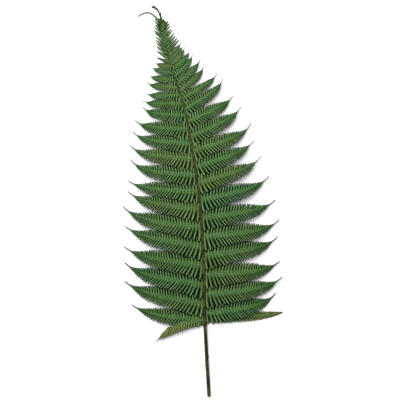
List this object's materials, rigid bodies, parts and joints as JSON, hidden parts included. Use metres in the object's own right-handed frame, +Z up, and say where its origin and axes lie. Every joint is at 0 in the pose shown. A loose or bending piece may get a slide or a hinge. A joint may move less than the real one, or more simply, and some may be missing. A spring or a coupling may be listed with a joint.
{
  "type": "bracken frond",
  "caption": "Cut green fern frond lying face up: woody stalk, arched midrib, two rows of side fronds cut into fine leaflets, and a curled tip of plain lobes.",
  "frame": {"origin": "on the table under the middle of the frond's box, lying face up", "axes": "+Y from the cut end of the stalk towards the tip, +X to the right seen from above, +Z up"},
  "size_m": [0.2062, 0.5014, 0.017],
  "materials": {
    "leaf_green": "dull, slightly waxy fern green with paler ribs",
    "stalk_brown": "dry ridged brown stalk, greener towards the tip"
  },
  "bodies": {
    "root": {"frond": "leaf_green"}
  },
  "joints": []
}
